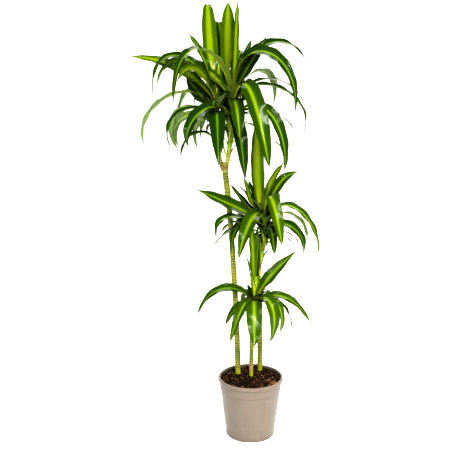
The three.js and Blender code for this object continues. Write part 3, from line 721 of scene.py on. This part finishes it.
STEM_SIDES = 32
STEM_STEP = 1.3  # height from one ring of points to the next
RIDGE = 0.45  # how far the ridge at a leaf scar stands out
GROOVE = 0.35  # depth of the groove above it
GROOVE_ABOVE = 2.2  # height of the groove above the ridge


def evenly(points, radii):
    """Stations of height and radius, spaced evenly from the foot of a line to its top."""
    low, high = points[0][2], points[-1][2]
    return [[low + (high - low) * i / (len(radii) - 1), r] for i, r in enumerate(radii)]


def ringed_stem(
    name, points, stations, pitch, seed, material, stands_for, brown=None, deep=None
):
    """A round stem about a centre line. Its radius is read between stations of height and
    radius, and has a ridge and a groove, two bell curves of the distance to the nearest
    leaf scar. The scars lie about the pitch apart, and dip and rise a little around the
    stem. brown is the height and the reach of a brown stretch, and deep the heights between
    which the stem turns deep green."""
    low, high = stations[0][0], stations[-1][0]
    z = np.append(np.arange(low, high, STEM_STEP), high)
    draw = seeded(seed)
    scars, at = [], low + draw(2, pitch)
    while at < high:
        scars.append(at)
        at += pitch * draw(0.65, 1.35)
    scars = np.array(scars)
    angle = np.linspace(0, 2 * np.pi, STEM_SIDES, endpoint=False)[None, :]
    tilt = 0.9 * np.sin(angle + 0.05 * z[:, None]) + 0.5 * np.sin(2 * angle + 0.21 * z[:, None])
    spot = z[:, None] + tilt
    nearest = np.abs(spot[..., None] - scars).argmin(-1)
    off = spot - scars[nearest]
    ridge = np.exp(-((off / 1.2) ** 2))
    groove = np.exp(-(((off - GROOVE_ABOVE) / 1.3) ** 2))
    radius = np.interp(z, *np.array(stations, float).T)[:, None]
    swell = 0.25 * np.sin(0.09 * z[:, None] + seed)
    swell = swell + 0.2 * lumps(angle * 9, z[:, None], 30, seed)
    radius = radius + swell + RIDGE * ridge - GROOVE * groove
    centre = line_at(points, z)[:, None]
    out = np.stack([np.cos(angle), np.sin(angle), np.zeros_like(angle)], -1)
    places = centre + out * radius[..., None]
    none = np.zeros_like(spot)
    browned = np.exp(-(((spot - brown[0]) / brown[1]) ** 2)) if brown else none
    deepened = 0.9 * smooth_step(*deep, spot) if deep else none
    marks = {
        "scar": groove.ravel(), "pale": ridge.ravel(),
        "brown": browned.ravel(), "deep": deepened.ravel(),
    }
    faces = tube_faces(len(z), STEM_SIDES)
    return piece(name, places.reshape(-1, 3), faces, material, stands_for, marks)


# ---------------- pot


def arc(radius, z, size, start, end, count=6):
    """Points of a round edge in a profile, from start to end in degrees from outwards."""
    turn = np.radians(np.linspace(start, end, count))
    return [[radius + size * math.cos(a), z + size * math.sin(a)] for a in turn]


def pot_profile():
    """Radius and height from the middle of the underside, up the outside, over the rolled
    lip and down the inside."""
    foot_round, under_round, lip_round, mouth_round = 1.5, 2, 3, 2
    rib_step = 0.8  # height between the points that draw the ribs

    def wall(z):
        return POT_BASE_RADIUS + (POT_WALL_TOP - POT_BASE_RADIUS) * z / COLLAR_BOTTOM

    def collar(z):
        return COLLAR_RADIUS + COLLAR_SPREAD * (z - COLLAR_BOTTOM) / (LIP_BOTTOM - COLLAR_BOTTOM)

    def ribbed(surface, low, high):
        """Points up a surface that has faint rings: each is 0.35 mm proud over 2 mm."""
        proud, reach = 0.35, 1.0
        return [
            [surface(z) + sum(proud * math.exp(-(((z - at) / reach) ** 2)) for at in POT_RIBS), z]
            for z in np.arange(low, high, rib_step)
        ]

    profile = [[0, 0], [DRAIN_INNER - 2, 0], [DRAIN_INNER, 0], [POT_BASE_RADIUS - 1.8, 0]]
    profile += arc(POT_BASE_RADIUS - foot_round, foot_round, foot_round, -60, 0, 4)
    profile += [[wall(z), z] for z in (4, DRAIN_HEIGHT, DRAIN_HEIGHT + 2, 20, 40, 70, 100, 125)]
    profile += ribbed(wall, COLLAR_BOTTOM - 21, COLLAR_BOTTOM - 5)
    profile += [[wall(COLLAR_BOTTOM - 3), COLLAR_BOTTOM - 3]]
    profile += [[wall(COLLAR_BOTTOM - 1.5) + 0.2, COLLAR_BOTTOM - 1.5]]
    profile += [[COLLAR_RADIUS - 0.9, COLLAR_BOTTOM - 0.6], [COLLAR_RADIUS - 0.2, COLLAR_BOTTOM]]
    profile += [[COLLAR_RADIUS, COLLAR_BOTTOM + 1]]
    profile += ribbed(collar, COLLAR_BOTTOM + 4, LIP_BOTTOM - 3)
    profile += [[collar(LIP_BOTTOM), LIP_BOTTOM - 2], [collar(LIP_BOTTOM) + 0.5, LIP_BOTTOM - 0.5]]
    profile += [[LIP_RADIUS - 3.2, LIP_BOTTOM]]
    profile += arc(LIP_RADIUS - under_round, LIP_BOTTOM + under_round, under_round, -90, 0)
    profile += arc(LIP_RADIUS - lip_round, POT_HEIGHT - lip_round, lip_round, 0, 90, 8)
    mouth = collar(LIP_BOTTOM) - POT_WALL
    profile += arc(mouth + mouth_round, POT_HEIGHT - mouth_round, mouth_round, 90, 180)
    profile += [[collar(COLLAR_BOTTOM + 5) - POT_WALL, COLLAR_BOTTOM + 5]]
    profile += [[COLLAR_RADIUS - POT_WALL, COLLAR_BOTTOM]]
    profile += [[wall(COLLAR_BOTTOM - 2) - POT_WALL, COLLAR_BOTTOM - INNER_STEP]]
    profile += [[wall(POT_LEDGE) - POT_WALL, POT_LEDGE], [FLAT_RADIUS + RAMP_WIDTH, POT_LEDGE]]
    profile += [[FLAT_RADIUS, POT_FLOOR], [0, POT_FLOOR]]
    return np.array(profile, float)


def make_pot():
    """A profile turned about the axis. Where a drain slot is, the underside and the foot of
    the wall rise to the slot's height, with steep ends."""
    sides = 360
    slot_end = 1.5  # length of each end's slope
    profile = pot_profile()
    angle = np.linspace(0, 2 * np.pi, sides, endpoint=False)[None, :]
    radius = np.broadcast_to(profile[1:-1, :1], (len(profile) - 2, sides))
    z = np.array(np.broadcast_to(profile[1:-1, 1:], radius.shape))
    from_slot = (angle * DRAIN_SLOTS / (2 * np.pi) + 0.5) % 1 - 0.5
    arc_off = np.abs(from_slot) * 2 * np.pi / DRAIN_SLOTS * POT_BASE_RADIUS
    slot = 1 - smooth_step(DRAIN_WIDTH / 2 - slot_end, DRAIN_WIDTH / 2, arc_off)
    outer = np.arange(len(z))[:, None] < len(z) // 2
    lifted = np.where(outer & (radius >= DRAIN_INNER), np.maximum(z, DRAIN_HEIGHT * slot), z)
    rings = np.stack([radius * np.cos(angle), radius * np.sin(angle), lifted], -1)
    places = np.concatenate([rings.reshape(-1, 3), [[0, 0, 0], [0, 0, POT_FLOOR]]])
    faces = capped_faces(len(rings), sides)
    return piece("nursery_pot", places, faces, POT, "pot", crease=32)


# ---------------- soil


def rough_ball():
    """The 12 corners and 20 faces of an icosahedron of radius 1."""
    g = (1 + 5**0.5) / 2
    corners = unit(np.array([
        [-1, g, 0], [1, g, 0], [-1, -g, 0], [1, -g, 0], [0, -1, g], [0, 1, g],
        [0, -1, -g], [0, 1, -g], [g, 0, -1], [g, 0, 1], [-g, 0, -1], [-g, 0, 1],
    ], float))
    faces = np.array([
        [0, 11, 5], [0, 5, 1], [0, 1, 7], [0, 7, 10], [0, 10, 11], [1, 5, 9], [5, 11, 4],
        [11, 10, 2], [10, 7, 6], [7, 1, 8], [3, 9, 4], [3, 4, 2], [3, 2, 6], [3, 6, 8],
        [3, 8, 9], [4, 9, 5], [2, 4, 11], [6, 2, 10], [8, 6, 7], [9, 8, 1],
    ])
    return corners, faces


def soil_height(x, y):
    """The soil's top: it sinks a little towards the wall, and has broad and small lumps."""
    away = np.hypot(x, y) / SOIL_RADIUS
    return (
        SOIL_MIDDLE - (SOIL_MIDDLE - SOIL_EDGE) * away**2
        + 1.2 * lumps(x, y, 34, 1) + 0.7 * lumps(x, y, 11, 2) - 0.6
    )


def make_soil():
    """The bed: a profile turned about the axis up the pot's inside, and over it a top whose
    height is the lumpy field."""
    sides, top_rings = 144, 39
    edge = COLLAR_RADIUS + COLLAR_SPREAD - POT_WALL - CLEARANCE - 0.4
    lower = POT_BASE_RADIUS + (POT_WALL_TOP - POT_BASE_RADIUS) * POT_LEDGE / COLLAR_BOTTOM
    upper = POT_WALL_TOP - POT_WALL - CLEARANCE - 0.3
    side = [
        [FLAT_RADIUS - CLEARANCE, POT_FLOOR + CLEARANCE],
        [FLAT_RADIUS + RAMP_WIDTH - CLEARANCE, POT_LEDGE + CLEARANCE],
        [lower - POT_WALL - CLEARANCE, POT_LEDGE + CLEARANCE],
        [upper, COLLAR_BOTTOM - INNER_STEP],
        [COLLAR_RADIUS - POT_WALL - CLEARANCE, COLLAR_BOTTOM + CLEARANCE],
        [edge, SOIL_EDGE - 4],
    ]
    top = edge * np.linspace(1, 0, top_rings + 1)[:-1] ** 0.8  # closer together at the wall
    radius = np.concatenate([np.array(side)[:, 0], top])[:, None]
    angle = np.linspace(0, 2 * np.pi, sides, endpoint=False)[None, :]
    x, y = radius * np.cos(angle), radius * np.sin(angle)
    z = np.concatenate([
        np.repeat(np.array(side)[:, 1:], sides, 1), soil_height(x[len(side):], y[len(side):])
    ])
    places = np.concatenate([
        np.stack([x, y, z], -1).reshape(-1, 3),
        [[0, 0, POT_FLOOR + CLEARANCE], [0, 0, float(soil_height(0, 0))]],
    ])
    faces = capped_faces(len(radius), sides)
    marks = {"tint": np.full(len(places), 0.12)}
    return piece("potting_soil", places, faces, SOIL, "soil", marks, crease=180)


def scatter(name, count, seed, sizes, reach, longer, flatness, tints, material, sink):
    """Rough balls of 20 faces strewn over the soil out to the reach, each drawn out, squashed,
    turned and knocked out of round by its own random numbers. sink is the share of a ball's
    own half height that is under the soil."""
    rng = np.random.default_rng(seed)
    corners, faces = rough_ball()
    points = len(corners)
    spread = rng.uniform(0, 1, (count, 8))
    size = sizes[0] + (sizes[1] - sizes[0]) * spread[:, 0] ** 2.5
    radius, angle = reach * np.sqrt(spread[:, 1]), 2 * np.pi * spread[:, 2]
    x, y = radius * np.cos(angle), radius * np.sin(angle)
    knocked = corners * rng.uniform(0.7, 1.15, (count, points, 1))
    stretch = np.stack(
        [1 + longer * spread[:, 3], 0.7 + 0.3 * spread[:, 4], np.full(count, flatness)], -1
    )
    shaped = knocked * stretch[:, None] * size[:, None, None]
    tip, turn = 0.5 * (spread[:, 5] - 0.5), 2 * np.pi * spread[:, 6]
    tipped = np.stack([
        shaped[..., 0] * np.cos(tip)[:, None] + shaped[..., 2] * np.sin(tip)[:, None],
        shaped[..., 1],
        shaped[..., 2] * np.cos(tip)[:, None] - shaped[..., 0] * np.sin(tip)[:, None],
    ], -1)
    turned = np.stack([
        tipped[..., 0] * np.cos(turn)[:, None] - tipped[..., 1] * np.sin(turn)[:, None],
        tipped[..., 0] * np.sin(turn)[:, None] + tipped[..., 1] * np.cos(turn)[:, None],
        tipped[..., 2],
    ], -1)
    z = soil_height(x, y) + size * flatness * (1 - sink)
    places = (turned + np.stack([x, y, z], -1)[:, None]).reshape(-1, 3)
    every = (faces[None] + points * np.arange(count)[:, None, None]).reshape(-1, 3)
    low, high = tints
    marks = {"tint": np.repeat(low + (high - low) * spread[:, 7] ** 2, points)}
    return piece(name, places, every.tolist(), material, None, marks, crease=30)


def make_large_chip():
    """The one large flake of bark, at the front right: a rough ball drawn out and squashed."""
    middle_x, middle_y, above = 72, -42, 1.5
    half_sizes = [15, 8, 3]
    turn = math.radians(12)
    corners, faces = rough_ball()
    rng = np.random.default_rng(21)
    shaped = corners * rng.uniform(0.8, 1.15, (len(corners), 1)) * half_sizes
    x = shaped[:, 0] * math.cos(turn) - shaped[:, 1] * math.sin(turn) + middle_x
    y = shaped[:, 0] * math.sin(turn) + shaped[:, 1] * math.cos(turn) + middle_y
    z = shaped[:, 2] + float(soil_height(middle_x, middle_y)) + above
    places = np.stack([x, y, z], -1)
    marks = {"tint": np.full(len(corners), 0.45)}
    return piece(
        "large_bark_flake", places, faces.tolist(), BARK, None, marks, crease=30
    )


# ---------------- the plant

LEAF = leaf_material()
CANE = cane_material(
    "dracaena_cane", skin="#566218", flush="#808830", patch="#54441f", scar="#3a3410",
    bark="#a88468", foot_glow=0.75,
)
SHOOT = cane_material(
    "dracaena_green_shoot", skin="#a4ac58", flush="#8a9a3c", patch="#8c8450", scar="#6c6c34",
    bark="#64442e", foot_glow=0.0,
)
POT = pot_material()
SOIL = soil_material("peat_potting_mix", dark="#160f0c", light="#624632", rough=0.9)
FLECK = soil_material("coir_fibre_flecks", dark="#50381f", light="#c8ac72", rough=0.8)
BARK = soil_material("pine_bark_chips", dark="#40281a", light="#96704e", rough=0.8)

make_pot()
make_soil()
scatter(
    "soil_crumbs", count=2600, seed=5, sizes=(0.9, 4.2), reach=94, longer=0.6, flatness=0.75,
    tints=(0.0, 0.6), material=SOIL, sink=0.35,
)
scatter(
    "soil_flecks", count=1100, seed=6, sizes=(0.6, 2.4), reach=93, longer=3.4, flatness=0.35,
    tints=(0.0, 1.0), material=FLECK, sink=0.1,
)
scatter(
    "bark_chips", count=90, seed=8, sizes=(2.5, 6.5), reach=88, longer=1.0, flatness=0.35,
    tints=(0.0, 0.9), material=BARK, sink=0.15,
)
make_large_chip()

for name, line, radius, pitch, seed, brown in (
    ("tall_cane", TALL_CANE, TALL_RADIUS, 9.5, 3, None),
    ("middle_cane", MIDDLE_CANE, MIDDLE_RADIUS, 9.0, 7, None),
    ("short_cane", SHORT_CANE, SHORT_RADIUS, 9.0, 12, (228, 12)),
):
    stations = evenly(line, [radius, radius])
    ringed_stem(name + "_bark", line, stations, pitch, seed, CANE, name, brown)

swelling = [[872, 10.2], [880, 11.8], [888, 13.5], [894, 14], [900, 10]]
ringed_stem("tall_knuckle", KNUCKLE, swelling, 6, 9, SHOOT, "tall_crown", (886, 13))

for name, crown, line, radii, pitch, seed, brown, deep in (
    ("tall_left", "tall", LEFT_SHOOT, [7.5, 7, 8, 10, 10, 5], 7, 21, (892, 12), (960, 1010)),
    ("tall_right", "tall", RIGHT_SHOOT, [6, 6.8, 7.5, 9, 11, 5], 7, 22, (888, 8), (1030, 1070)),
    ("middle", "middle", MIDDLE_SHOOT, [9, 6.6, 5.6, 7, 8, 4], 7, 23, (560, 12), (630, 665)),
    ("short", "short", SHORT_SHOOT, [10, 10, 10, 5], 6, 24, None, (430, 455)),
):
    stations = evenly(line, radii)
    ringed_stem(
        name + "_shoot", line, stations, pitch, seed, SHOOT, crown + "_crown", brown, deep
    )

foliage("tall_left_leaves", LEFT_SHOOT, "tall_crown", 0, LEFT_LEAVES, **LEFT_RULES)
foliage("tall_right_leaves", RIGHT_SHOOT, "tall_crown", 30, RIGHT_LEAVES, **RIGHT_RULES)
foliage("middle_leaves", MIDDLE_SHOOT, "middle_crown", 70, MIDDLE_LEAVES, **MIDDLE_RULES)
foliage("short_leaves", SHORT_SHOOT, "short_crown", 110, SHORT_LEAVES, **SHORT_RULES)

# ---------------- studio


def make_floor():
    """A plain pale studio floor."""
    half = 12  # metres
    corners = [(-half, -half, 0), (half, -half, 0), (half, half, 0), (-half, half, 0)]
    mesh = bpy.data.meshes.new("studio_floor")
    mesh.from_pydata(corners, [], [(0, 1, 2, 3)])
    made = bpy.data.materials.new("matt_white_floor")
    made.use_nodes = True
    shader = made.node_tree.nodes["Principled BSDF"]
    shader.inputs["Base Color"].default_value = linear("#f8f8f8")
    shader.inputs["Roughness"].default_value = 0.9
    mesh.materials.append(made)
    floor = bpy.data.objects.new("studio_floor", mesh)
    bpy.context.scene.collection.objects.link(floor)
    floor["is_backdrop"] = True


def make_lamp(name, place, width, height, power):
    """A soft box that faces the plant and that the camera doesn't see, in metres and watts."""
    plant_middle = Vector((-0.05, 0, 0.75))
    light = bpy.data.lights.new(name, "AREA")
    light.shape = "RECTANGLE"
    light.size = width
    light.size_y = height
    light.energy = power
    lamp = bpy.data.objects.new(name, light)
    lamp.location = place
    towards = plant_middle - lamp.location
    lamp.rotation_euler = towards.to_track_quat("-Z", "Y").to_euler()
    lamp.visible_camera = False
    bpy.context.scene.collection.objects.link(lamp)
    return lamp


make_floor()
# The strip only gives the bright bands on the bent leaves.
strip = make_lamp("front_strip", (0.07, -2.5, 3.1), width=5.0, height=0.14, power=60)
strip.visible_diffuse = False
# The right box only lights, and gives no reflections.
right_box = make_lamp("front_right_box", (0.5, -2.7, 1.6), width=0.3, height=0.6, power=28)
right_box.visible_glossy = False
make_lamp("front_left_box", (-1.8, -1.9, 1.5), width=0.5, height=1.6, power=10)
make_lamp("back_panel", (0, 2.4, 2.8), width=4.0, height=2.4, power=90)

# A wide soft light from the upper right in front keeps the whole floor white.
sky = bpy.data.lights.new("soft_daylight", "SUN")
sky.energy = 3.8
sky.angle = math.radians(45)
sky_lamp = bpy.data.objects.new("soft_daylight", sky)
sky_lamp.rotation_euler = (math.radians(40), math.radians(20), 0)
sky_lamp.visible_glossy = False
bpy.context.scene.collection.objects.link(sky_lamp)

# The surround is pure white to the camera, and lights the plant less than it looks.
world = bpy.data.worlds.new("white_studio")
world.use_nodes = True
world_tree = world.node_tree
seen = node(world_tree, "LightPath", output="Is Camera Ray")
glow = node(world_tree, "MapRange", {0: seen, 3: 0.18, 4: 1.05})
backdrop = world_tree.nodes["Background"]
backdrop.inputs[0].default_value = (1, 1, 1, 1)
world_tree.links.new(glow, backdrop.inputs[1])
bpy.context.scene.world = world
bpy.context.scene.view_settings.view_transform = "Standard"
bpy.context.scene.view_settings.look = "Very High Contrast"

camera = bpy.data.cameras.new("camera")
camera.lens = 68
camera.sensor_width = 36
viewer = bpy.data.objects.new("camera", camera)
viewer.location = (-0.051, -2.699, 1.352)
viewer.rotation_euler = (math.radians(90 - 14.1), 0, 0)
bpy.context.scene.collection.objects.link(viewer)
bpy.context.scene.camera = viewer

seen_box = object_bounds()
boxes = {"cad": cad_box, "seen": seen_box}
{key: [list(corner) for corner in box] for key, box in boxes.items()}
